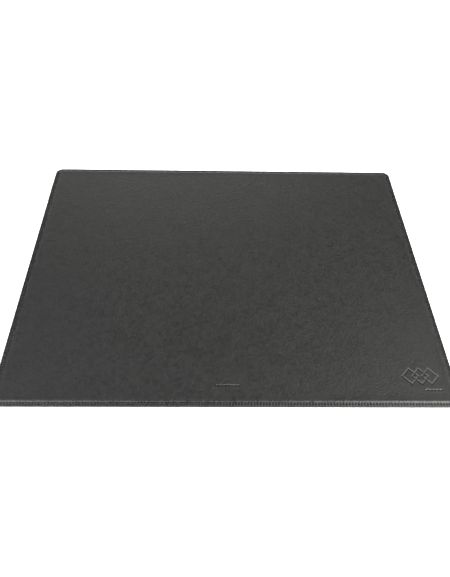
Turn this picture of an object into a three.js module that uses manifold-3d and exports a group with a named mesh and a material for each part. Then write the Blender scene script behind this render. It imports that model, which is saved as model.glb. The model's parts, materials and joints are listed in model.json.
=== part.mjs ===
// Desk mat: a stitched leather writing mat, 600 mm wide and 500 mm deep, that lies flat on a desk.
//
// From the desk up it is a non-slip backing sheet, a stiffener board with a thin padding fleece on it,
// and a leather panel over them. The leather turns under round the edge, where it lies on itself and on
// the backing, and two rows of lockstitch sew that edge. Each row has a needle thread on top and a
// bobbin thread underneath.
//
// Frame: millimetres, +X along the width, +Y away from the person at the desk, +Z up. The origin is the
// middle of the underside. An inset is a distance in from the mat's outer edge, measured along the top.

import * as THREE from "three";
import { mergeVertices } from "three/addons/utils/BufferGeometryUtils.js";
import Module from "manifold-3d";

// Outline
const MAT_WIDTH = 600;
const MAT_DEPTH = 500;
const CORNER_RADIUS = 12;
const INNER_CORNER_RADIUS = 1;
const CORNER_STEPS = 8;

// Thickness of each layer
const BACKING_THICKNESS = 0.8;
const BOARD_THICKNESS = 1.6;
const PADDING_THICKNESS = 0.8;
const PRESSED_PADDING_THICKNESS = 0.4;
const LEATHER_THICKNESS = 1.2;

// The sewn edge, outside the board
const BACKING_INSET = 0.9;
const SEWN_EDGE_WIDTH = 6.6;
const POCKET_INSET = 8.2;
const POCKET_CLEARANCE = 0.3;
const NOSE_STEPS = 8;

// The raised rim just inside the sewn edge, and the slope from it down to the flat field
const RIM_OUTER_INSET = 8.2;
const RIM_INNER_INSET = 9.4;
const FIELD_INSET = 15.5;

// The two rows of stitching
const OUTER_ROW_INSET = 1.7;
const INNER_ROW_INSET = 4.2;
const NEEDLE_THREAD_RADIUS = 0.35;
const BOBBIN_THREAD_RADIUS = 0.2;
const THREAD_SIDES = 8;
const NEEDLE_GROOVE = { halfWidth: 0.45, depth: 0.5 };
const BOBBIN_GROOVE = { halfWidth: 0.35, depth: 0.45 };

// The blind-pressed marks in the field, near the front edge
const PRESS_DEPTH = 0.5;
const LOZENGE = { width: 24, height: 28, stroke: 2.2, count: 3, pitch: 13 };
const LOZENGE_CENTRE = { x: 255, y: -203 };
const FOOTNOTE = { width: 3, height: 1.6, count: 5, pitch: 4.6, x: 268, y: -224 };
const FRONT_MARK = { width: 2.8, height: 2, count: 7, pitch: 4.4, x: 0, y: -218 };

// Heights that follow from the layers
const EDGE_BOTTOM = BACKING_THICKNESS;
const BOARD_TOP = BACKING_THICKNESS + BOARD_THICKNESS;
const RIM_ROOF = BOARD_TOP + PADDING_THICKNESS;
const FIELD_ROOF = BOARD_TOP + PRESSED_PADDING_THICKNESS;
const EDGE_TOP = EDGE_BOTTOM + 2 * LEATHER_THICKNESS;
const RIM_TOP = RIM_ROOF + LEATHER_THICKNESS;
const FIELD_TOP = FIELD_ROOF + LEATHER_THICKNESS;

// The mat's rounded outline brought in by inset, at height z, counter-clockwise seen from above.
function outline(inset, z) {
  const radius = Math.max(CORNER_RADIUS - inset, INNER_CORNER_RADIUS);
  const centreX = MAT_WIDTH / 2 - inset - radius;
  const centreY = MAT_DEPTH / 2 - inset - radius;
  const points = [];
  for (let corner = 0; corner < 4; corner += 1) {
    const x = corner === 0 || corner === 3 ? centreX : -centreX;
    const y = corner < 2 ? centreY : -centreY;
    for (let step = 0; step <= CORNER_STEPS; step += 1) {
      const angle = (corner + step / CORNER_STEPS) * (Math.PI / 2);
      points.push(new THREE.Vector3(x + radius * Math.cos(angle), y + radius * Math.sin(angle), z));
    }
  }
  return points;
}

// The faces of a flat cap over one outline, as triples of indices from first.
function capFaces(ring, first, facesUp) {
  const flat = ring.map((point) => new THREE.Vector2(point.x, point.y));
  const faces = THREE.ShapeUtils.triangulateShape(flat, []);
  return faces.flatMap(([a, b, c]) => (facesUp ? [a, b, c] : [c, b, a]).map((index) => first + index));
}

// The faces between two neighbouring outlines of the same number of points.
function bandFaces(lower, upper, count) {
  const faces = [];
  for (let side = 0; side < count; side += 1) {
    const next = (side + 1) % count;
    faces.push(lower + side, lower + next, upper + next);
    faces.push(lower + side, upper + next, upper + side);
  }
  return faces;
}

// A closed body swept round the mat through a profile of [inset, height] points. A sheet's profile runs
// from the middle of its underside out to the edge and back in over its top, and both ends are capped.
// A ring's profile closes on itself.
function sweep(profile, isRing) {
  const rings = profile.map(([inset, height]) => outline(inset, height));
  const count = rings[0].length;
  const bands = isRing ? rings.length : rings.length - 1;
  const faces = [];
  for (let band = 0; band < bands; band += 1) {
    faces.push(...bandFaces(band * count, ((band + 1) % rings.length) * count, count));
  }
  if (!isRing) {
    faces.push(...capFaces(rings[0], 0, false));
    faces.push(...capFaces(rings.at(-1), (rings.length - 1) * count, true));
  }
  const geometry = new THREE.BufferGeometry().setFromPoints(rings.flat());
  geometry.setIndex(faces);
  return geometry;
}

// A square groove in a level surface, opening upwards for a positive depth, in order of rising inset.
function groove(inset, level, { halfWidth, depth }) {
  return [
    [inset - halfWidth, level],
    [inset - halfWidth, level - depth],
    [inset + halfWidth, level - depth],
    [inset + halfWidth, level],
  ];
}

// The half-round fold at the mat's outer edge, from underneath to the top.
function foldedNose() {
  const radius = (EDGE_TOP - EDGE_BOTTOM) / 2;
  const points = [];
  for (let step = 0; step <= NOSE_STEPS; step += 1) {
    const angle = (step / NOSE_STEPS - 0.5) * Math.PI;
    points.push([radius * (1 - Math.cos(angle)), EDGE_BOTTOM + radius * (1 + Math.sin(angle))]);
  }
  return points;
}

function topLeather() {
  const underside = [
    [FIELD_INSET, FIELD_ROOF],
    [RIM_INNER_INSET, RIM_ROOF],
    [POCKET_INSET, RIM_ROOF],
    [POCKET_INSET, EDGE_BOTTOM],
  ];
  const sewnEdge = [
    ...groove(OUTER_ROW_INSET, EDGE_TOP, NEEDLE_GROOVE),
    ...groove(INNER_ROW_INSET, EDGE_TOP, NEEDLE_GROOVE),
    [SEWN_EDGE_WIDTH, EDGE_TOP],
  ];
  const rim = [
    [RIM_OUTER_INSET, RIM_TOP],
    [RIM_INNER_INSET, RIM_TOP],
    [FIELD_INSET, FIELD_TOP],
  ];
  return sweep([...underside, ...foldedNose(), ...sewnEdge, ...rim], false);
}

// The padding is pressed thin over the field and keeps its full thickness under the rim.
function paddingFleece() {
  const edge = POCKET_INSET + POCKET_CLEARANCE;
  const profile = [
    [edge, BOARD_TOP],
    [edge, RIM_ROOF],
    [RIM_INNER_INSET, RIM_ROOF],
    [FIELD_INSET, FIELD_ROOF],
  ];
  return sweep(profile, false);
}

function stiffenerBoard() {
  const edge = POCKET_INSET + POCKET_CLEARANCE;
  return sweep([[edge, BACKING_THICKNESS], [edge, BOARD_TOP]], false);
}

function backingSheet() {
  const grooves = [
    ...groove(OUTER_ROW_INSET, 0, { ...BOBBIN_GROOVE, depth: -BOBBIN_GROOVE.depth }),
    ...groove(INNER_ROW_INSET, 0, { ...BOBBIN_GROOVE, depth: -BOBBIN_GROOVE.depth }),
  ];
  const edge = [
    [BACKING_INSET, 0],
    [BACKING_INSET, BACKING_THICKNESS],
  ];
  return sweep([...grooves.reverse(), ...edge], false);
}

// A thread laid round the mat, with one flat side down on restHeight.
function threadRing(inset, radius, restHeight) {
  const profile = [];
  for (let side = 0; side < THREAD_SIDES; side += 1) {
    const angle = ((side + 0.5) / THREAD_SIDES) * 2 * Math.PI;
    const reach = radius / Math.cos(Math.PI / THREAD_SIDES);
    profile.push([inset - reach * Math.cos(angle), restHeight + radius + reach * Math.sin(angle)]);
  }
  return sweep(profile, true);
}

function needleThread(inset) {
  return threadRing(inset, NEEDLE_THREAD_RADIUS, EDGE_TOP - NEEDLE_GROOVE.depth);
}

function bobbinThread(inset) {
  return threadRing(inset, BOBBIN_THREAD_RADIUS, BOBBIN_GROOVE.depth - 2 * BOBBIN_THREAD_RADIUS);
}

// A lozenge with its corners on the axes.
function lozengePath(centreX, centreY, halfWidth, halfHeight) {
  return [
    new THREE.Vector2(centreX + halfWidth, centreY),
    new THREE.Vector2(centreX, centreY + halfHeight),
    new THREE.Vector2(centreX - halfWidth, centreY),
    new THREE.Vector2(centreX, centreY - halfHeight),
  ];
}

// The outlines of the interlaced lozenges.
function lozengeShapes() {
  const shapes = [];
  for (let index = 0; index < LOZENGE.count; index += 1) {
    const x = LOZENGE_CENTRE.x + (index - (LOZENGE.count - 1) / 2) * LOZENGE.pitch;
    const halfWidth = LOZENGE.width / 2;
    const halfHeight = LOZENGE.height / 2;
    const shrink = 1 - LOZENGE.stroke * Math.hypot(1 / halfWidth, 1 / halfHeight);
    const shape = new THREE.Shape(lozengePath(x, LOZENGE_CENTRE.y, halfWidth, halfHeight));
    const hole = lozengePath(x, LOZENGE_CENTRE.y, halfWidth * shrink, halfHeight * shrink);
    shape.holes.push(new THREE.Path(hole));
    shapes.push(shape);
  }
  return shapes;
}

// A row of short dashes, centred on the row's x and y.
function dashShapes({ width, height, count, pitch, x, y }) {
  const shapes = [];
  for (let index = 0; index < count; index += 1) {
    const left = x + (index - (count - 1) / 2) * pitch - width / 2;
    const bottom = y - height / 2;
    const shape = new THREE.Shape();
    shape.moveTo(left, bottom);
    shape.lineTo(left + width, bottom);
    shape.lineTo(left + width, bottom + height);
    shape.lineTo(left, bottom + height);
    shapes.push(shape);
  }
  return shapes;
}

const wasm = await Module();
wasm.setup();

function toManifold(geometry) {
  let plain = geometry.clone();
  plain.deleteAttribute("normal");
  plain.deleteAttribute("uv");
  plain = mergeVertices(plain);
  const mesh = new wasm.Mesh({
    numProp: 3,
    vertProperties: new Float32Array(plain.getAttribute("position").array),
    triVerts: new Uint32Array(plain.getIndex().array),
  });
  return new wasm.Manifold(mesh);
}

function fromManifold(solid) {
  const mesh = solid.getMesh();
  const geometry = new THREE.BufferGeometry();
  geometry.setAttribute("position", new THREE.BufferAttribute(mesh.vertProperties, mesh.numProp));
  geometry.setIndex(new THREE.BufferAttribute(mesh.triVerts, 1));
  return geometry;
}

// The leather with the marks pressed into its field.
function pressedLeather() {
  const shapes = [...lozengeShapes(), ...dashShapes(FOOTNOTE), ...dashShapes(FRONT_MARK)];
  let leather = toManifold(topLeather());
  for (const shape of shapes) {
    const die = new THREE.ExtrudeGeometry(shape, { depth: 2 * PRESS_DEPTH, bevelEnabled: false });
    die.translate(0, 0, FIELD_TOP - PRESS_DEPTH);
    leather = leather.subtract(toManifold(die));
  }
  return fromManifold(leather);
}

function finish(color, roughness) {
  return new THREE.MeshStandardMaterial({ color, roughness, metalness: 0 });
}

const blackLeather = finish(0x2b2b2b, 0.5);
const greyBoard = finish(0x8a8274, 0.9);
const whiteFleece = finish(0xb9b6ae, 0.95);
const charcoalSuede = finish(0x333333, 0.95);
const blackThread = finish(0x1c1c1c, 0.6);

const deskMat = new THREE.Group();

function addPiece(name, geometry, material) {
  geometry.computeVertexNormals();
  const mesh = new THREE.Mesh(geometry, material);
  mesh.name = name;
  deskMat.add(mesh);
}

addPiece("backing_sheet", backingSheet(), charcoalSuede);
addPiece("stiffener_board", stiffenerBoard(), greyBoard);
addPiece("padding_fleece", paddingFleece(), whiteFleece);
addPiece("top_leather", pressedLeather(), blackLeather);
addPiece("outer_needle_thread", needleThread(OUTER_ROW_INSET), blackThread);
addPiece("inner_needle_thread", needleThread(INNER_ROW_INSET), blackThread);
addPiece("outer_bobbin_thread", bobbinThread(OUTER_ROW_INSET), blackThread);
addPiece("inner_bobbin_thread", bobbinThread(INNER_ROW_INSET), blackThread);

export default deskMat;
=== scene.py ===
"""A stitched black leather desk mat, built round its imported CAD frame.

The leather, the backing, the fleece and the four rows of stitches are modelled here and replace their
plain CAD solids. The stiffener board keeps its CAD mesh. Shapes are worked out in millimetres in the
CAD's own frame, and become metres when a mesh is made.

An inset is a distance in from the mat's outer edge. A station is a place round the mat, the same for
every inset: its foot is a point of the rectangle that joins the four corner centres, and its angle is
the way out from that foot to the edge.
"""

import json
import math
import random
from collections import namedtuple

import bmesh
import bpy
from mathutils import Euler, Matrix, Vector, noise


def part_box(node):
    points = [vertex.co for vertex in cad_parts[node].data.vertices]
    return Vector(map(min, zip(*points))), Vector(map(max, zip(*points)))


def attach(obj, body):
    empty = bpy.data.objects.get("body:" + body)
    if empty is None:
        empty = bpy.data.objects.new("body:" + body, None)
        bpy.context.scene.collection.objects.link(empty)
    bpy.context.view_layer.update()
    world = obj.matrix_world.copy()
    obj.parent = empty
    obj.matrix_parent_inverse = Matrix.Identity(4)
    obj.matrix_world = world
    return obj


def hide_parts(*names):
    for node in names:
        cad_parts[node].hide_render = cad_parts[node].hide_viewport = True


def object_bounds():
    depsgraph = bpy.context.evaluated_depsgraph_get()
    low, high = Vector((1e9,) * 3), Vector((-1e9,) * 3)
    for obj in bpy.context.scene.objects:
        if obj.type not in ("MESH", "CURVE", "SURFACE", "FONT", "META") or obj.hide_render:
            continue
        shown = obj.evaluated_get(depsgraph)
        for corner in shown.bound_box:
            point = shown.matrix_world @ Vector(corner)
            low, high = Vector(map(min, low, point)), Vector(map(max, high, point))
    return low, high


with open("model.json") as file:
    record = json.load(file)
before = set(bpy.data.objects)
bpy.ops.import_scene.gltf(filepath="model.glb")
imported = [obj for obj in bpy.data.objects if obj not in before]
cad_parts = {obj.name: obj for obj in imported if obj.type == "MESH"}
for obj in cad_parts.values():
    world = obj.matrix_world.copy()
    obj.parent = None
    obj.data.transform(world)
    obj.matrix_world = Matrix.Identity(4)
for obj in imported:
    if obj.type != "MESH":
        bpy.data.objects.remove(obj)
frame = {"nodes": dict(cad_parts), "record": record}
cad_low, cad_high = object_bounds()

MM = 0.001


def node_box(name):
    """The lowest and highest corner of a CAD node, in millimetres."""
    low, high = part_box(name)
    return low / MM, high / MM


def mount_height(name):
    """The height of one of the record's mounts, in millimetres."""
    for mount in frame["record"]["mounts"]:
        if mount["name"] == name:
            return mount["pos_m"][2] / MM
    raise ValueError(name)


# Sizes from the frame, in millimetres
leather_low, leather_high = node_box("top_leather")
fleece_low, fleece_high = node_box("padding_fleece")
backing_low, backing_high = node_box("backing_sheet")
WIDTH = leather_high.x - leather_low.x
DEPTH = leather_high.y - leather_low.y
EDGE_BOTTOM = leather_low.z
RIM_TOP = leather_high.z
FIELD_TOP = mount_height("writing_surface")
LEATHER_THICKNESS = RIM_TOP - fleece_high.z
EDGE_TOP = EDGE_BOTTOM + 2 * LEATHER_THICKNESS
FLEECE_INSET = leather_high.x - fleece_high.x
BACKING_INSET = leather_high.x - backing_high.x
BACKING_TOP = backing_high.z

# The outline and the profile of the sewn edge, in millimetres
CORNER_RADIUS = 12.0
POCKET_CLEARANCE = 0.3
POCKET_INSET = FLEECE_INSET - POCKET_CLEARANCE
EDGE_FLAT_END = 6.4
PUCKER_INSET = 6.2
RIM_START = 8.3
RIM_END = 9.2
FIELD_START = 15.5

# The stitching, in millimetres. A stitch covers that share of the way between two holes, its jitter is how
# far it is out of place, and its slant is how far it leans across the row. Dive and lift are in radii.
STITCH_LENGTH = 3.9
STITCH_SHARE = 0.97
STITCH_JITTER = 0.12
SLANT_JITTER = 0.05
STITCH_DIVE = 1.5
STITCH_LIFT = 0.12
NEEDLE_LOOK = {"upwards": True, "sides": 8, "slant": 0.45}
BOBBIN_LOOK = {"upwards": False, "sides": 6, "slant": 0.15}
THREAD_PLY_PITCH = 1.6

# How the stitching draws the leather and the backing in, in millimetres
PULL_REACH = 0.75
NEEDLE_DIP = {"line": 0.2, "hole": 0.6, "reach": 0.6}
BOBBIN_DIP = {"line": 0.36, "hole": 0.2, "reach": 0.5}
SWELL_HEIGHT = 0.16
PUCKER_HEIGHT = 0.18
PUCKER_REACH = 1.5
PUCKER_LEVEL = 0.4

# Painted shade that the stitching puts on the leather's colour, along its lines and in its needle holes, with
# the reaches in millimetres
LINE_SHADE = 0.7
LINE_SHADE_REACH = 0.8
HOLE_SHADE_END = 1.4
HOLE_SHADE_REACH = 0.9

# Where the leather gets its painted highlight and where it is tight, with the reaches in millimetres
RIM_HIGHLIGHT_REACH = 1.6
NOSE_HIGHLIGHT = 0.25
NOSE_HIGHLIGHT_REACH = 0.9
TIGHT_MARGIN = 1.0
TIGHT_FADE = 2.5

# The surfaces' unevenness: each wave's height and size in millimetres, and its seed
EDGE_WAVES = ((0.05, 9.0, 1.5),)
FIELD_WAVES = ((0.06, 70.0, 4.5), (0.02, 17.0, 9.5))
CALM_REACH = 20.0
NOSE_WOBBLE = 0.12
CUT_WOBBLE = 0.1
GLUE_GAP = 0.03

# The mesh round the mat: the field's cells, the stations beside each one, and each level's station step
CELL_LENGTH = 2 * STITCH_LENGTH
STATIONS_PER_CELL = 12
CORNER_STATIONS = 24
FINE = 1
MEDIUM = 3
ROUGH = 6
COARSE = 12

# The pressed marks, in millimetres from the mat's middle
PRESS_DEPTH = 0.6
PRESS_SHOULDER = 1.0
LOZENGE_CENTRE = (255.0, -203.0)
LOZENGE_HALF = (12.0, 14.0)
LOZENGE_PITCH = 13.0
LOZENGE_COUNT = 3
LOZENGE_STROKE = 2.2
FOOTNOTE = {"centre": (268.0, -224.0), "half": (1.5, 0.8), "count": 5, "pitch": 4.6}
FRONT_MARK = {"centre": (1.3, -218.4), "half": (1.5, 1.4), "count": 7, "pitch": 4.4}
MARK_CUTS = 21


# ---------------------------------------------------------------- round the mat

Station = namedtuple("Station", "x y angle straight turn")
HALF_X = WIDTH / 2 - CORNER_RADIUS
HALF_Y = DEPTH / 2 - CORNER_RADIUS
CELLS_X = round(2 * HALF_X / CELL_LENGTH)
CELLS_Y = round(2 * HALF_Y / CELL_LENGTH)
SIDES = (
    ((HALF_X, -HALF_Y), (HALF_X, HALF_Y), CELLS_Y),
    ((HALF_X, HALF_Y), (-HALF_X, HALF_Y), CELLS_X),
    ((-HALF_X, HALF_Y), (-HALF_X, -HALF_Y), CELLS_Y),
    ((-HALF_X, -HALF_Y), (HALF_X, -HALF_Y), CELLS_X),
)


def make_stations():
    """Every fine station, counter-clockwise from the right side's front end."""
    stations = []
    straight = 0.0
    for side, (start, end, cells) in enumerate(SIDES):
        angle = side * math.pi / 2
        length = math.dist(start, end)
        steps = cells * STATIONS_PER_CELL
        for step in range(steps):
            t = step / steps
            x = start[0] + (end[0] - start[0]) * t
            y = start[1] + (end[1] - start[1]) * t
            stations.append(Station(x, y, angle, straight + length * t, angle))
        straight += length
        for step in range(CORNER_STATIONS):
            turned = angle + step / CORNER_STATIONS * math.pi / 2
            stations.append(Station(end[0], end[1], turned, straight, turned))
    return stations


STATIONS = make_stations()


def place(station, inset):
    """The point at an inset from the edge, at a station."""
    reach = CORNER_RADIUS - inset
    return station.x + reach * math.cos(station.angle), station.y + reach * math.sin(station.angle)


def travel(station, inset):
    """How far round the mat a station is, along the line at that inset."""
    return station.straight + (CORNER_RADIUS - inset) * station.turn


def row_length(inset):
    """The length once round the mat at that inset."""
    return 4 * (HALF_X + HALF_Y) + 2 * math.pi * (CORNER_RADIUS - inset)


def row_point(distance, inset):
    """The point and the way out at a distance round the mat at that inset."""
    distance %= row_length(inset)
    radius = CORNER_RADIUS - inset
    arc = radius * math.pi / 2
    for side, (start, end, _) in enumerate(SIDES):
        angle = side * math.pi / 2
        length = math.dist(start, end)
        if distance < length:
            t = distance / length
            foot = (start[0] + (end[0] - start[0]) * t, start[1] + (end[1] - start[1]) * t)
            break
        distance -= length
        if distance < arc or side == 3:
            angle += distance / radius
            foot = end
            break
        distance -= arc
    x = foot[0] + radius * math.cos(angle)
    y = foot[1] + radius * math.sin(angle)
    return x, y, angle


def inset_of(x, y):
    """How far inside the outer edge a point is."""
    beyond_x = abs(x) - HALF_X
    beyond_y = abs(y) - HALF_Y
    if beyond_x > 0 and beyond_y > 0:
        return CORNER_RADIUS - math.hypot(beyond_x, beyond_y)
    return CORNER_RADIUS - max(beyond_x, beyond_y)


# ---------------------------------------------------------------- rows of stitches


class Row:
    """One row of stitching, with its line taken from the CAD ring that stands in for its thread."""

    def __init__(self, node, seed):
        low, high = node_box(node)
        self.node = node
        self.radius = (high.z - low.z) / 2
        self.inset = leather_high.x - high.x + self.radius
        self.middle = (high.z + low.z) / 2
        self.count = round(row_length(self.inset) / STITCH_LENGTH)
        self.pitch = row_length(self.inset) / self.count
        self.stitch_length = self.pitch * STITCH_SHARE
        self.random = random.Random(seed)
        self.phase = self.random.random() * self.pitch

    def hole_distance(self, distance):
        """How far a distance along the row is from its nearest needle hole."""
        part = (distance - self.phase) / self.pitch
        return abs(part - round(part)) * self.pitch

    def pull(self, distance):
        """How strongly the thread pulls the material in there, from 0 between two holes to 1 at a hole."""
        return math.exp(-((self.hole_distance(distance) / PULL_REACH) ** 2))


outer_needle = Row("outer_needle_thread", 11)
inner_needle = Row("inner_needle_thread", 12)
outer_bobbin = Row("outer_bobbin_thread", 11)
inner_bobbin = Row("inner_bobbin_thread", 12)


# ---------------------------------------------------------------- heights


def smooth(t):
    """From 0 at 0 to 1 at 1, level at both ends and beyond them."""
    t = min(max(t, 0.0), 1.0)
    return t * t * (3 - 2 * t)


def lumps(x, y, size, seed):
    """Gentle unevenness from -1 to 1, about size millimetres from lump to lump."""
    return noise.noise(Vector((x / size, y / size, seed)))


def wave_height(x, y, waves):
    """The sum of several waves, each given as height, size and seed."""
    return sum(height * lumps(x, y, size, seed) for height, size, seed in waves)


def field_fall(inset):
    """How much of the way down from the rim's top to the field a place is."""
    left = min(max((FIELD_START - inset) / (FIELD_START - RIM_END), 0.0), 1.0)
    return 1 - left**2


def profile_height(inset):
    """The leather's top from the sewn edge, over the rim, to the field."""
    rise = smooth((inset - EDGE_FLAT_END) / (RIM_START - EDGE_FLAT_END))
    return EDGE_TOP + rise * (RIM_TOP - EDGE_TOP) - field_fall(inset) * (RIM_TOP - FIELD_TOP)


def stitch_dip(row, station, inset, line, hole, reach):
    """How far a row of stitches draws the surface in: line all along it, and hole more at each hole."""
    across = math.exp(-(((inset - row.inset) / reach) ** 2))
    return across * (line + hole * row.pull(travel(station, row.inset)))


def hole_shade(station, inset):
    """How much painted shade the stitching puts on a place, from 0 away from it to 1 in the middle of a
    needle hole.
    """
    shade = 0.0
    for row in (outer_needle, inner_needle):
        across = inset - row.inset
        along = row.hole_distance(travel(station, row.inset))
        line = LINE_SHADE * math.exp(-((across / LINE_SHADE_REACH) ** 2))
        hole = smooth(HOLE_SHADE_END - math.hypot(along, across) / HOLE_SHADE_REACH)
        shade = max(shade, line, hole)
    return shade


def edge_height(station, inset):
    """The leather's top near the edge, with its stitch lines and the puckers that they draw."""
    height = profile_height(inset)
    height -= stitch_dip(outer_needle, station, inset, **NEEDLE_DIP)
    height -= stitch_dip(inner_needle, station, inset, **NEEDLE_DIP)
    between = (inset - outer_needle.inset) / (inner_needle.inset - outer_needle.inset)
    height += SWELL_HEIGHT * math.sin(math.pi * min(max(between, 0.0), 1.0))
    pucker = math.exp(-(((inset - PUCKER_INSET) / PUCKER_REACH) ** 2))
    pull = inner_needle.pull(travel(station, inner_needle.inset))
    height += PUCKER_HEIGHT * pucker * (PUCKER_LEVEL - pull)
    x, y = place(station, inset)
    return height + wave_height(x, y, EDGE_WAVES)


def stroke_distance(distance, stroke):
    """The distance outside a stroke that runs just inside an outline."""
    return max(distance, -stroke - distance)


def lozenge_distance(x, y):
    """The distance outside the nearest stroke of the interlaced lozenges."""
    nearest = math.inf
    half_x, half_y = LOZENGE_HALF
    slope = math.hypot(1 / half_x, 1 / half_y)
    for index in range(LOZENGE_COUNT):
        centre = LOZENGE_CENTRE[0] + (index - (LOZENGE_COUNT - 1) / 2) * LOZENGE_PITCH
        across = abs(x - centre) / half_x + abs(y - LOZENGE_CENTRE[1]) / half_y
        nearest = min(nearest, stroke_distance((across - 1) / slope, LOZENGE_STROKE))
    return nearest


def dash_distance(x, y, centre, half, count, pitch):
    """The distance outside the nearest dash of a row of them."""
    index = round((x - centre[0]) / pitch + (count - 1) / 2)
    index = min(max(index, 0), count - 1)
    middle = centre[0] + (index - (count - 1) / 2) * pitch
    return max(abs(x - middle) - half[0], abs(y - centre[1]) - half[1])


def mark_distance(x, y):
    """The distance outside the nearest pressed mark."""
    footnote = dash_distance(x, y, **FOOTNOTE)
    front = dash_distance(x, y, **FRONT_MARK)
    return min(lozenge_distance(x, y), footnote, front)


def field_height(x, y):
    """The leather's top inside the sewn edge, with its slight waves and the pressed marks."""
    inset = inset_of(x, y)
    strength = smooth((inset - RIM_END) / CALM_REACH)
    pressed = PRESS_DEPTH * smooth(0.5 - mark_distance(x, y) / PRESS_SHOULDER)
    return profile_height(inset) + strength * wave_height(x, y, FIELD_WAVES) - pressed


# ---------------------------------------------------------------- meshes


class Skin:
    """A mesh made of rings round the mat, from the middle of its underside to the middle of its top."""

    def __init__(self):
        self.points = []
        self.faces = []
        self.holes = {}

    def ring(self, inset, height, level=FINE, wobble=0.0):
        """One ring of points at that inset. height is a number, or a function of station and inset."""
        ring = []
        for station in STATIONS[::level]:
            z = height(station, inset) if callable(height) else height
            shift = wobble * lumps(station.straight, station.turn * 10, 45.0, 7.5)
            x, y = place(station, inset + shift)
            if height is edge_height:
                self.holes[len(self.points)] = hole_shade(station, inset)
            ring.append(len(self.points))
            self.points.append((x, y, z))
        return ring

    def face(self, *corners):
        """Adds a face, and leaves out corners that have closed up on each other."""
        kept = [c for i, c in enumerate(corners) if c != corners[i - 1]]
        if len(kept) > 2:
            self.faces.append(kept)

    def bridge(self, first, second):
        """Joins two rings. One may have a whole number of times the other's points."""
        if len(first) == len(second):
            for i, point in enumerate(first):
                j = (i + 1) % len(first)
                self.face(point, first[j], second[j], second[i])
        elif len(first) < len(second):
            self._fan(first, second, False)
        else:
            self._fan(second, first, True)

    def _fan(self, few, many, many_first):
        ratio = len(many) // len(few)
        for i, point in enumerate(few):
            following = few[(i + 1) % len(few)]
            for step in range(ratio):
                at = i * ratio + step
                a, b = many[at], many[(at + 1) % len(many)]
                tip = point if step < ratio // 2 else following
                self.face(*((a, b, tip) if many_first else (tip, b, a)))
                if step == ratio // 2:
                    self.face(*((a, following, point) if many_first else (point, following, a)))

    def sweep(self, rings):
        """Joins each ring to the next."""
        for first, second in zip(rings, rings[1:]):
            self.bridge(first, second)

    def cap(self, ring, faces_up):
        """Closes a ring with one flat face."""
        self.faces.append(list(ring) if faces_up else list(reversed(ring)))

    def grid(self, ring, height, faces_up):
        """Fills the rectangle between the corner centres, and joins it to a ring outside it."""
        first = len(self.points)
        for row in range(CELLS_Y + 1):
            for column in range(CELLS_X + 1):
                x = HALF_X * (2 * column / CELLS_X - 1)
                y = HALF_Y * (2 * row / CELLS_Y - 1)
                self.points.append((x, y, height(x, y)))

        def at(column, row):
            return first + row * (CELLS_X + 1) + column

        for row in range(CELLS_Y):
            for column in range(CELLS_X):
                cell = (at(column, row), at(column + 1, row), at(column + 1, row + 1), at(column, row + 1))
                self.face(*(cell if faces_up else reversed(cell)))
        border = []
        for station in STATIONS[:: len(STATIONS) // len(ring)]:
            column = round((station.x / HALF_X + 1) * CELLS_X / 2)
            row = round((station.y / HALF_Y + 1) * CELLS_Y / 2)
            border.append(at(column, row))
        if faces_up:
            self.bridge(ring, border)
        else:
            self.bridge(border, ring)

    def build(self, name):
        """Makes the object, in metres."""
        return make_object(name, self.points, self.faces)


def make_object(name, points, faces):
    """A smooth-shaded mesh object from points in millimetres."""
    mesh = bpy.data.meshes.new(name)
    mesh.from_pydata([(x * MM, y * MM, z * MM) for x, y, z in points], [], faces)
    mesh.polygons.foreach_set("use_smooth", [True] * len(mesh.polygons))
    mesh.update()
    piece = bpy.data.objects.new(name, mesh)
    bpy.context.scene.collection.objects.link(piece)
    return piece


def spread(start, end, count):
    """count numbers from start to end, both included."""
    return [start + (end - start) * i / (count - 1) for i in range(count)]


def refine_marks(piece):
    """Cuts the field's cells finely round the pressed marks, and presses the marks in."""
    bm = bmesh.new()
    bm.from_mesh(piece.data)
    low_field = (FIELD_TOP - LEATHER_THICKNESS / 2) * MM
    boxes = mark_boxes()

    def inside(vert):
        if vert.co.z < low_field:
            return False
        return any(x0 < vert.co.x / MM < x1 and y0 < vert.co.y / MM < y1 for x0, y0, x1, y1 in boxes)

    edges = [edge for edge in bm.edges if all(inside(vert) for vert in edge.verts)]
    bmesh.ops.subdivide_edges(bm, edges=edges, cuts=MARK_CUTS, use_grid_fill=True)
    for vert in bm.verts:
        if inside(vert):
            vert.co.z = field_height(vert.co.x / MM, vert.co.y / MM) * MM
    bm.to_mesh(piece.data)
    bm.free()


def store(piece, name, value_at):
    """Keeps a number at each point, worked out from where the point is in millimetres."""
    layer = piece.data.attributes.new(name, "FLOAT", "POINT")
    layer.data.foreach_set("value", [value_at(*(vert.co / MM)) for vert in piece.data.vertices])


def pressed_at(x, y, z):
    """1 at the bottom of a pressed mark, and 0 away from the marks."""
    if z < FIELD_TOP - LEATHER_THICKNESS / 2 or inset_of(x, y) < FIELD_START:
        return 0.0
    return smooth(0.5 - mark_distance(x, y) / PRESS_SHOULDER)


def rim_highlight_at(x, y, z):
    """How much painted highlight lightens the leather's colour, most on the rim's top and a little round the
    nose.
    """
    inset = inset_of(x, y)
    rim = math.exp(-(((inset - RIM_END) / RIM_HIGHLIGHT_REACH) ** 2)) if z > EDGE_TOP else 0.0
    return max(rim, NOSE_HIGHLIGHT * smooth((NOSE_HIGHLIGHT_REACH - inset) / NOSE_HIGHLIGHT_REACH))


def tight_at(x, y, z):
    """1 on the sewn edge, where the leather is thinned and pulled tight, and 0 in the field."""
    return smooth((RIM_END + TIGHT_MARGIN - inset_of(x, y)) / TIGHT_FADE)


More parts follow.
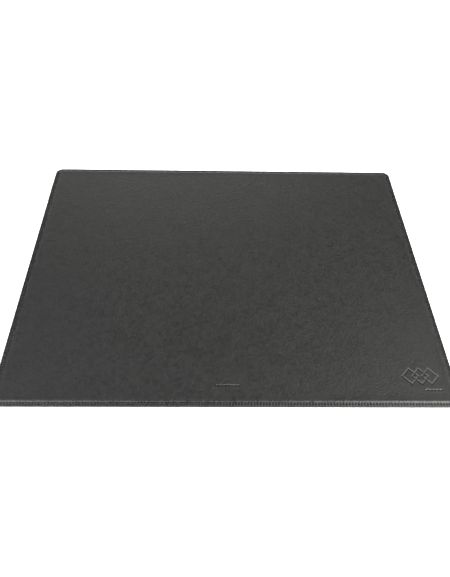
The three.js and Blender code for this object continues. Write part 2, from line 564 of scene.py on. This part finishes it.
def mark_boxes():
    """The rectangles that hold the pressed marks, each with a margin."""
    boxes = []
    margin = PRESS_SHOULDER + CELL_LENGTH
    half_x = (LOZENGE_COUNT - 1) / 2 * LOZENGE_PITCH + LOZENGE_HALF[0] + margin
    half_y = LOZENGE_HALF[1] + margin
    x, y = LOZENGE_CENTRE
    boxes.append((x - half_x, y - half_y, x + half_x, y + half_y))
    for mark in (FOOTNOTE, FRONT_MARK):
        half_x = (mark["count"] - 1) / 2 * mark["pitch"] + mark["half"][0] + margin
        half_y = mark["half"][1] + margin
        x, y = mark["centre"]
        boxes.append((x - half_x, y - half_y, x + half_x, y + half_y))
    return boxes


def make_leather():
    """The leather, ring by ring: the pocket, the turned-under edge, the nose, the sewn top and the field."""
    skin = Skin()
    roof = LEATHER_THICKNESS
    nose = (EDGE_TOP - EDGE_BOTTOM) / 2
    rings = [
        skin.ring(CORNER_RADIUS - 0.2, profile_height(CORNER_RADIUS) - roof, COARSE),
        skin.ring(RIM_END, RIM_TOP - roof, ROUGH),
        skin.ring(POCKET_INSET, RIM_TOP - roof, ROUGH),
        skin.ring(POCKET_INSET, EDGE_BOTTOM, ROUGH),
        skin.ring(POCKET_INSET - 1.2, EDGE_BOTTOM, MEDIUM),
    ]
    skin.cap(rings[0], False)
    for angle in spread(-90, 60, 7):
        turned = math.radians(angle)
        inset = nose * (1 - math.cos(turned))
        rings.append(skin.ring(inset, EDGE_BOTTOM + nose * (1 + math.sin(turned)), MEDIUM, NOSE_WOBBLE))
    for inset in spread(0.95, EDGE_FLAT_END, 13):
        rings.append(skin.ring(inset, edge_height))
    for inset in spread(EDGE_FLAT_END + 0.4, RIM_END + 0.3, 6):
        rings.append(skin.ring(inset, edge_height, MEDIUM))
    rings.append(skin.ring(RIM_END + 1.2, edge_height, ROUGH))
    rings.append(skin.ring(CORNER_RADIUS - 0.7, edge_height, COARSE))
    skin.sweep(rings)
    skin.grid(rings[-1], field_height, True)
    leather = skin.build("stitched_leather")
    # Keeps the stitching's painted shade at each point of the sewn edge.
    holes = leather.data.attributes.new("holes", "FLOAT", "POINT")
    holes.data.foreach_set("value", [skin.holes.get(i, 0.0) for i in range(len(skin.points))])
    refine_marks(leather)
    store(leather, "pressed", pressed_at)
    store(leather, "painted_highlight", rim_highlight_at)
    store(leather, "tight", tight_at)
    return leather


def backing_height(station, inset):
    """The backing's underside, drawn up into the two stitch lines."""
    height = stitch_dip(outer_bobbin, station, inset, **BOBBIN_DIP)
    return height + stitch_dip(inner_bobbin, station, inset, **BOBBIN_DIP)


def make_backing():
    """The backing sheet, with a softly rounded cut edge."""
    skin = Skin()
    inner = CORNER_RADIUS - 0.8
    rings = [skin.ring(inner, 0.0, COARSE), skin.ring(RIM_START, 0.0, ROUGH)]
    skin.grid(rings[0], lambda x, y: 0.0, False)
    rings.append(skin.ring(RIM_START - 1.5, backing_height, MEDIUM))
    for inset in spread(RIM_START - 2.2, BACKING_INSET + 0.35, 12):
        rings.append(skin.ring(inset, backing_height))
    rings.append(skin.ring(BACKING_INSET, BACKING_TOP * 0.3, MEDIUM, CUT_WOBBLE))
    rings.append(skin.ring(BACKING_INSET, BACKING_TOP * 0.8, MEDIUM, CUT_WOBBLE))
    rings.append(skin.ring(BACKING_INSET + 0.2, BACKING_TOP, MEDIUM))
    rings.append(skin.ring(RIM_START, BACKING_TOP, ROUGH))
    rings.append(skin.ring(inner, BACKING_TOP, COARSE))
    skin.sweep(rings)
    skin.cap(rings[-1], True)
    return skin.build("suede_backing")


def make_fleece():
    """The fleece, pressed thin over the field and full under the rim."""
    skin = Skin()
    top = fleece_high.z - GLUE_GAP
    pressed = FIELD_TOP - LEATHER_THICKNESS - GLUE_GAP
    inner = CORNER_RADIUS - 0.8

    def height(x, y):
        fall = field_fall(inset_of(x, y)) * (top - pressed)
        return top - fall + 0.02 * (lumps(x, y, 6.0, 2.5) - 1)

    rings = [
        skin.ring(inner, fleece_low.z, COARSE),
        skin.ring(FLEECE_INSET + 0.1, fleece_low.z, ROUGH),
        skin.ring(FLEECE_INSET, fleece_low.z + 0.1, ROUGH, CUT_WOBBLE),
        skin.ring(FLEECE_INSET, top - 0.1, ROUGH, CUT_WOBBLE),
        skin.ring(FLEECE_INSET + 0.15, top, ROUGH),
        skin.ring(RIM_END, top, ROUGH),
        skin.ring(inner, lambda station, inset: height(*place(station, inset)), COARSE),
    ]
    skin.cap(rings[0], False)
    skin.sweep(rings)
    skin.grid(rings[-1], height, True)
    return skin.build("fleece_layer")


def stitch_path(row):
    """The thread's middle line over one stitch, as (along, height, thickness) from hole to hole."""
    rising = [(0.08, -1.4, 0.7), (0.12, -0.8, 0.85), (0.17, -0.35, 1.0), (0.26, -0.08, 1.1)]
    falling = [(1 - along, height, thickness) for along, height, thickness in reversed(rising)]
    dive = STITCH_DIVE * row.radius
    lift = STITCH_LIFT * row.radius
    path = [*rising, (0.5, 0.0, 1.2), *falling]
    return [(along * row.stitch_length, height * dive + lift, thickness) for along, height, thickness in path]


def stitch_points(row, path, start, tilt, sides, sign):
    """The points of one stitch: a ring of them round the thread at each point of its path."""
    points = []
    for at, (along, height, thickness) in enumerate(path):
        before = path[max(at - 1, 0)]
        after = path[min(at + 1, len(path) - 1)]
        steep = math.atan2(after[1] - before[1], after[0] - before[0])
        side = (along / row.stitch_length - 0.5) * tilt
        for step in range(sides):
            turned = 2 * math.pi * step / sides * sign
            out = row.radius * thickness * math.cos(turned)
            up = row.radius * thickness * math.sin(turned)
            x, y, angle = row_point(start + along - up * math.sin(steep), row.inset)
            x += (side + out) * math.cos(angle)
            y += (side + out) * math.sin(angle)
            points.append((x, y, row.middle + sign * (height + up * math.cos(steep))))
    return points


def stitch_faces(first, path, sides):
    """The faces of one stitch and their UVs, which count turns round the thread and plies along it."""
    faces = []
    uvs = []
    for ring in range(len(path) - 1):
        for step in range(sides):
            a = first + ring * sides + step
            b = first + ring * sides + (step + 1) % sides
            faces.append((a, b, b + sides, a + sides))
            turns = ((step, ring), (step + 1, ring), (step + 1, ring + 1), (step, ring + 1))
            uvs.extend((turn / sides, path[at][0] / THREAD_PLY_PITCH) for turn, at in turns)
    start_cap = [first + step for step in reversed(range(sides))]
    end_cap = [first + (len(path) - 1) * sides + step for step in range(sides)]
    faces.extend((start_cap, end_cap))
    uvs.extend([(0.0, 0.0)] * 2 * sides)
    return faces, uvs


def make_stitches(name, row, upwards, sides, slant):
    """A row of separate stitches, each of which dives into a hole at both ends."""
    points = []
    faces = []
    uvs = []
    path = stitch_path(row)
    for index in range(row.count):
        start = row.phase + index * row.pitch + row.random.uniform(-STITCH_JITTER, STITCH_JITTER)
        tilt = slant + row.random.uniform(-SLANT_JITTER, SLANT_JITTER)
        stitch, stitch_uvs = stitch_faces(len(points), path, sides)
        points.extend(stitch_points(row, path, start, tilt, sides, 1 if upwards else -1))
        faces.extend(stitch)
        uvs.extend(stitch_uvs)
    piece = make_object(name, points, faces)
    layer = piece.data.uv_layers.new(name="thread")
    layer.data.foreach_set("uv", [value for uv in uvs for value in uv])
    return piece


# ---------------------------------------------------------------- materials


class Tree:
    """A short way to write a node tree."""

    def __init__(self, tree):
        self.tree = tree
        self.tree.nodes.clear()

    def add(self, kind, **settings):
        node = self.tree.nodes.new(kind)
        for key, value in settings.items():
            setattr(node, key, value)
        return node

    def link(self, source, target):
        self.tree.links.new(source, target)

    def remap(self, source, low, high, to_low=0.0, to_high=1.0):
        """A value moved from one range to another, with soft ends."""
        node = self.add("ShaderNodeMapRange", interpolation_type="SMOOTHSTEP")
        node.inputs["From Min"].default_value = low
        node.inputs["From Max"].default_value = high
        node.inputs["To Min"].default_value = to_low
        node.inputs["To Max"].default_value = to_high
        self.link(source, node.inputs["Value"])
        return node.outputs["Result"]

    def math(self, operation, first, second):
        """One Math node. Each of first and second is a socket or a number."""
        node = self.add("ShaderNodeMath", operation=operation)
        for slot, value in zip(node.inputs, (first, second)):
            if isinstance(value, (int, float)):
                slot.default_value = value
            else:
                self.link(value, slot)
        return node.outputs[0]

    def blend(self, amount, first, second):
        """A colour between two, by amount. Each of first and second is a socket or a colour."""
        node = self.add("ShaderNodeMix", data_type="RGBA")
        self.link(amount, node.inputs["Factor"])
        for slot, value in ((node.inputs[6], first), (node.inputs[7], second)):
            if isinstance(value, tuple):
                slot.default_value = (*value, 1.0)
            else:
                self.link(value, slot)
        return node.outputs[2]


class Nodes(Tree):
    """A material's node tree. Lengths in it are millimetres of the object's own space."""

    def __init__(self, name):
        self.material = bpy.data.materials.new(name)
        self.material.use_nodes = True
        super().__init__(self.material.node_tree)
        self.shader = self.add("ShaderNodeBsdfPrincipled")
        output = self.add("ShaderNodeOutputMaterial")
        self.link(self.shader.outputs["BSDF"], output.inputs["Surface"])
        coordinates = self.add("ShaderNodeTexCoord")
        scale = self.add("ShaderNodeVectorMath", operation="SCALE")
        scale.inputs["Scale"].default_value = 1 / MM
        self.link(coordinates.outputs["Object"], scale.inputs[0])
        self.place = scale.outputs[0]

    def attribute(self, name):
        """A number stored on the piece's points."""
        return self.add("ShaderNodeAttribute", attribute_name=name).outputs["Fac"]

    def noise(self, size, detail=2.0, roughness=0.5, where=None, distortion=0.0):
        """Noise whose lumps are about size millimetres across."""
        node = self.add("ShaderNodeTexNoise")
        node.inputs["Scale"].default_value = 1 / size
        node.inputs["Detail"].default_value = detail
        node.inputs["Roughness"].default_value = roughness
        node.inputs["Distortion"].default_value = distortion
        self.link(where or self.place, node.inputs["Vector"])
        return node.outputs["Fac"]

    def cells(self, size, where):
        """The distance to the nearest border of cells that are about size millimetres across."""
        node = self.add("ShaderNodeTexVoronoi", feature="DISTANCE_TO_EDGE")
        node.inputs["Scale"].default_value = 1 / size
        self.link(where, node.inputs["Vector"])
        return node.outputs["Distance"]

    def warp(self, size, amount):
        """The place, pushed about by noise, so that what uses it looks grown and not drawn."""
        node = self.add("ShaderNodeTexNoise")
        node.inputs["Scale"].default_value = 1 / size
        self.link(self.place, node.inputs["Vector"])
        centred = self.add("ShaderNodeVectorMath", operation="SUBTRACT")
        self.link(node.outputs["Color"], centred.inputs[0])
        centred.inputs[1].default_value = (0.5, 0.5, 0.5)
        scaled = self.add("ShaderNodeVectorMath", operation="SCALE")
        self.link(centred.outputs[0], scaled.inputs[0])
        scaled.inputs["Scale"].default_value = amount
        total = self.add("ShaderNodeVectorMath", operation="ADD")
        self.link(self.place, total.inputs[0])
        self.link(scaled.outputs[0], total.inputs[1])
        return total.outputs[0]

    def stretched(self, x, y, z):
        """The place, scaled by different amounts along the axes."""
        node = self.add("ShaderNodeVectorMath", operation="MULTIPLY")
        self.link(self.place, node.inputs[0])
        node.inputs[1].default_value = (x, y, z)
        return node.outputs[0]

    def bump(self, height, depth, below=None):
        """Bump of that many millimetres, over another bump if one is given."""
        node = self.add("ShaderNodeBump")
        node.inputs["Strength"].default_value = 1.0
        node.inputs["Distance"].default_value = depth * MM
        self.link(height, node.inputs["Height"])
        if below is not None:
            self.link(below, node.inputs["Normal"])
        return node.outputs["Normal"]

    def set(self, **values):
        """Sets the shader's sockets by name, with _ for a space."""
        for key, value in values.items():
            slot = self.shader.inputs[key.replace("_", " ")]
            if isinstance(value, bpy.types.NodeSocket):
                self.link(value, slot)
            elif isinstance(value, tuple):
                slot.default_value = (*value, 1.0)
            else:
                slot.default_value = value


def leather_material():
    """Black leather: pebbled grain with pores, uneven dye, a painted highlight on the rim and nose, painted
    shade along the stitching and in its holes, and darker pressed marks.
    """
    nodes = Nodes("black_leather")
    grown = nodes.warp(2.4, 0.9)
    pebbles = nodes.remap(nodes.cells(1.15, grown), 0.0, 0.32)
    wrinkles = nodes.remap(nodes.cells(0.55, grown), 0.0, 0.3, 0.75, 1.0)
    pores = nodes.remap(nodes.noise(0.22, 2.0), 0.62, 0.75, 1.0, 0.0)
    mottle = nodes.noise(7.0, 4.0, 0.65)
    clouds = nodes.noise(38.0, 3.0, 0.6)
    pressed = nodes.attribute("pressed")
    painted_highlight = nodes.attribute("painted_highlight")
    holes = nodes.attribute("holes")
    tight = nodes.attribute("tight")
    tone = nodes.math("ADD", nodes.math("MULTIPLY", clouds, 0.4), nodes.math("MULTIPLY", mottle, 0.6))
    crease = nodes.math("MULTIPLY", pebbles, wrinkles)
    body = nodes.blend(nodes.remap(tone, 0.38, 0.62), (0.0003, 0.0003, 0.0003), (0.0038, 0.0038, 0.0037))
    # Painted highlight: a lighter colour along the rim's crest and round the nose, standing in for the light
    # that those slopes catch.
    body = nodes.blend(nodes.math("MULTIPLY", painted_highlight, 0.55), body, (0.026, 0.026, 0.026))
    colour = nodes.blend(crease, (0.001, 0.001, 0.001), body)
    colour = nodes.blend(nodes.math("MULTIPLY", pressed, 0.9), colour, (0.0008, 0.0008, 0.0008))
    # Painted shade: near-black colour along the stitch lines and in the needle holes, where shade falls.
    colour = nodes.blend(holes, colour, (0.0005, 0.0005, 0.0005))
    cloudy = nodes.remap(mottle, 0.36, 0.64, 0.385, 0.265)
    rough = nodes.math("ADD", cloudy, nodes.remap(crease, 0.0, 1.0, 0.1, 0.0))
    rough = nodes.math("SUBTRACT", rough, nodes.math("MULTIPLY", tight, 0.13))
    rough = nodes.math("SUBTRACT", rough, nodes.math("MULTIPLY", pressed, 0.2))
    rough = nodes.math("SUBTRACT", rough, nodes.math("MULTIPLY", holes, 0.1))
    calmed = nodes.math("MAXIMUM", nodes.math("MULTIPLY", pressed, 0.85), nodes.math("MULTIPLY", tight, 0.55))
    flattened = nodes.math("SUBTRACT", 1.0, calmed)
    dimples = nodes.math("MULTIPLY", nodes.noise(2.8, 3.0, 0.6), flattened)
    coarse = nodes.bump(dimples, 0.4, nodes.bump(mottle, 0.28))
    grain = nodes.bump(nodes.math("MULTIPLY", crease, flattened), 0.06, coarse)
    normal = nodes.bump(pores, 0.012, grain)
    nodes.set(Base_Color=colour, Roughness=rough, Normal=normal, IOR=1.5)
    return nodes.material


def thread_material():
    """Black bonded polyester thread, with the plies twisted round it."""
    nodes = Nodes("black_thread")
    uv = nodes.add("ShaderNodeUVMap", uv_map="thread")
    parts = nodes.add("ShaderNodeSeparateXYZ")
    nodes.link(uv.outputs["UV"], parts.inputs[0])
    turn = nodes.math("MULTIPLY", nodes.math("ADD", parts.outputs[0], parts.outputs[1]), 6 * math.pi)
    ply = nodes.remap(nodes.math("SINE", turn, 0.0), -1.0, 1.0)
    fibre = nodes.noise(0.09, 3.0)
    colour = nodes.blend(ply, (0.001, 0.001, 0.001), (0.008, 0.008, 0.008))
    rough = nodes.remap(fibre, 0.3, 0.7, 0.24, 0.36)
    normal = nodes.bump(fibre, 0.02, nodes.bump(ply, 0.06))
    nodes.set(Base_Color=colour, Roughness=rough, Normal=normal, IOR=1.4)
    return nodes.material


def suede_material():
    """Charcoal microfibre suede, with a nap that lies in changing directions."""
    nodes = Nodes("charcoal_suede")
    nap = nodes.noise(0.35, 4.0, 0.7, nodes.stretched(1.0, 0.35, 1.0))
    patches = nodes.noise(26.0, 3.0, 0.6, distortion=0.6)
    fuzz = nodes.noise(0.12, 2.0)
    shade = nodes.math("ADD", nodes.math("MULTIPLY", patches, 0.6), nodes.math("MULTIPLY", nap, 0.4))
    colour = nodes.blend(nodes.remap(shade, 0.35, 0.65), (0.022, 0.022, 0.023), (0.048, 0.048, 0.05))
    rough = nodes.remap(nap, 0.3, 0.7, 0.95, 0.82)
    normal = nodes.bump(fuzz, 0.04, nodes.bump(nap, 0.1))
    nodes.set(Base_Color=colour, Roughness=rough, Normal=normal)
    nodes.set(Sheen_Weight=0.35, Sheen_Roughness=0.45, Sheen_Tint=(0.5, 0.5, 0.52))
    return nodes.material


def fleece_material():
    """Off-white needled fleece of loose fibres."""
    nodes = Nodes("white_fleece")
    fibres = nodes.noise(0.3, 5.0, 0.75, nodes.stretched(1.0, 0.3, 1.0), 1.5)
    clumps = nodes.noise(5.0, 3.0)
    colour = nodes.blend(nodes.remap(fibres, 0.3, 0.7), (0.42, 0.41, 0.37), (0.62, 0.61, 0.57))
    shaded = nodes.blend(nodes.remap(clumps, 0.3, 0.7), colour, (0.55, 0.54, 0.5))
    normal = nodes.bump(fibres, 0.15, nodes.bump(clumps, 0.3))
    nodes.set(Base_Color=shaded, Roughness=nodes.remap(fibres, 0.3, 0.7, 0.98, 0.88), Normal=normal)
    nodes.set(Sheen_Weight=0.2)
    return nodes.material


def board_material():
    """Grey recycled board, with flecks of other paper and a layered cut edge."""
    nodes = Nodes("grey_board")
    pulp = nodes.noise(1.1, 5.0, 0.7)
    flecks = nodes.remap(nodes.noise(2.6, 2.0, 0.5, distortion=2.0), 0.66, 0.7)
    layers = nodes.noise(1.0, 2.0, 0.5, nodes.stretched(0.05, 0.05, 6.0))
    pulpy = nodes.blend(nodes.remap(pulp, 0.3, 0.7), (0.2, 0.185, 0.155), (0.29, 0.27, 0.23))
    layered = nodes.blend(nodes.remap(layers, 0.4, 0.6, 0.0, 0.35), pulpy, (0.16, 0.145, 0.12))
    colour = nodes.blend(flecks, layered, (0.42, 0.4, 0.36))
    normal = nodes.bump(layers, 0.06, nodes.bump(pulp, 0.05))
    nodes.set(Base_Color=colour, Roughness=nodes.remap(pulp, 0.3, 0.7, 0.85, 0.95), Normal=normal)
    return nodes.material


# ---------------------------------------------------------------- camera, light and floor

# The camera's place in metres, its turn about each axis in degrees, and its lens in millimetres
CAMERA_PLACE = (-0.02315, -0.6777, 0.67066)
CAMERA_TILT = (43.476, -1.264, -0.685)
CAMERA_LENS = 38.63

FLOOR_HALF = 4.0
FLOOR_DROP = 0.0001

# The room's brightness as a linear colour, and each lamp's axis, edge and core half angles and colour
ROOM = (0.42, 0.42, 0.42)
LAMPS = (
    # The dark upper half of the room behind the mat, and the dim wall behind the camera
    ((0.0, 1.0, 0.9), 70, 25, (0.0, 0.0, 0.0)),
    ((0.0, -1.0, 0.5), 55, 20, (0.22, 0.22, 0.22)),
    # High behind the mat, left and right
    ((-0.42, 0.35, 0.84), 18, 6, (3.2, 3.2, 3.2)),
    ((0.5, 0.3, 0.81), 22, 6, (5.6, 5.54, 5.35)),
    # The lit wall behind the mat, and its brighter foot
    ((-0.08, 0.95, 0.3), 29, 13, (0.85, 0.845, 0.82)),
    ((-0.05, 0.97, 0.17), 22, 8, (2.25, 2.24, 2.18)),
    # The main lamp, above the camera's right shoulder
    ((0.54, -0.33, 0.78), 22, 8, (13.0, 12.9, 12.5)),
    # The side panels, right and left
    ((0.8, -0.05, 0.6), 24, 10, (6.0, 5.95, 5.8)),
    ((-0.66, -0.2, 0.72), 25, 9, (9.0, 9.0, 9.0)),
    # Low in front of the mat, left and right. Seen from behind, the leather mirrors these two
    ((-0.5, -0.78, 0.4), 32, 15, (9.5, 9.5, 9.5)),
    ((0.6, -0.75, 0.2), 38, 18, (17.0, 17.0, 17.0)),
)


def make_camera():
    """The camera at the photograph's viewing angle."""
    camera = bpy.data.objects.new("camera", bpy.data.cameras.new("camera"))
    camera.data.lens = CAMERA_LENS
    camera.data.clip_start = 0.01
    camera.location = CAMERA_PLACE
    camera.rotation_euler = Euler([math.radians(angle) for angle in CAMERA_TILT])
    bpy.context.scene.collection.objects.link(camera)
    bpy.context.scene.camera = camera


def make_studio():
    """A grey room lit by soft-edged cones of light, each laid over the room and the cones before it."""
    world = bpy.data.worlds.new("studio")
    world.use_nodes = True
    bpy.context.scene.world = world
    nodes = Tree(world.node_tree)
    output = nodes.add("ShaderNodeOutputWorld")
    background = nodes.add("ShaderNodeBackground")
    nodes.link(background.outputs[0], output.inputs["Surface"])
    direction = nodes.add("ShaderNodeTexCoord").outputs["Generated"]

    def towards(axis, edge, core):
        """From 0 outside a cone round an axis to 1 at its core. Its half angles are in degrees."""
        dot = nodes.add("ShaderNodeVectorMath", operation="DOT_PRODUCT")
        nodes.link(direction, dot.inputs[0])
        dot.inputs[1].default_value = Vector(axis).normalized()
        low, high = math.cos(math.radians(edge)), math.cos(math.radians(core))
        return nodes.remap(dot.outputs["Value"], low, high)

    light = ROOM
    for axis, edge, core, colour in LAMPS:
        light = nodes.blend(towards(axis, edge, core), light, colour)
    nodes.link(light, background.inputs["Color"])


def make_floor():
    """A plain pale floor just under the mat."""
    bm = bmesh.new()
    bmesh.ops.create_grid(bm, x_segments=8, y_segments=8, size=FLOOR_HALF)
    mesh = bpy.data.meshes.new("floor")
    bm.to_mesh(mesh)
    bm.free()
    floor = bpy.data.objects.new("floor", mesh)
    floor.location.z = cad_low.z - FLOOR_DROP
    bpy.context.scene.collection.objects.link(floor)
    nodes = Nodes("pale_floor")
    nodes.set(Base_Color=(0.93, 0.93, 0.93), Roughness=0.9)
    mesh.materials.append(nodes.material)


# ---------------------------------------------------------------- putting it together


def finish_piece(piece, material, node):
    """Gives a piece its material, and puts it in its CAD node's place."""
    piece.data.materials.append(material)
    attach(piece, "root")
    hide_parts(node)


bpy.context.scene.view_settings.view_transform = "Standard"
make_camera()
make_studio()
make_floor()

thread = thread_material()
leather = make_leather()
backing = make_backing()
fleece = make_fleece()
outer_stitches = make_stitches("outer_needle_stitches", outer_needle, **NEEDLE_LOOK)
inner_stitches = make_stitches("inner_needle_stitches", inner_needle, **NEEDLE_LOOK)
outer_loops = make_stitches("outer_bobbin_stitches", outer_bobbin, **BOBBIN_LOOK)
inner_loops = make_stitches("inner_bobbin_stitches", inner_bobbin, **BOBBIN_LOOK)

finish_piece(leather, leather_material(), "top_leather")
finish_piece(backing, suede_material(), "backing_sheet")
finish_piece(fleece, fleece_material(), "padding_fleece")
finish_piece(outer_stitches, thread, outer_needle.node)
finish_piece(inner_stitches, thread, inner_needle.node)
finish_piece(outer_loops, thread, outer_bobbin.node)
finish_piece(inner_loops, thread, inner_bobbin.node)

board = frame["nodes"]["stiffener_board"]
for slot in board.material_slots:
    slot.material = board_material()
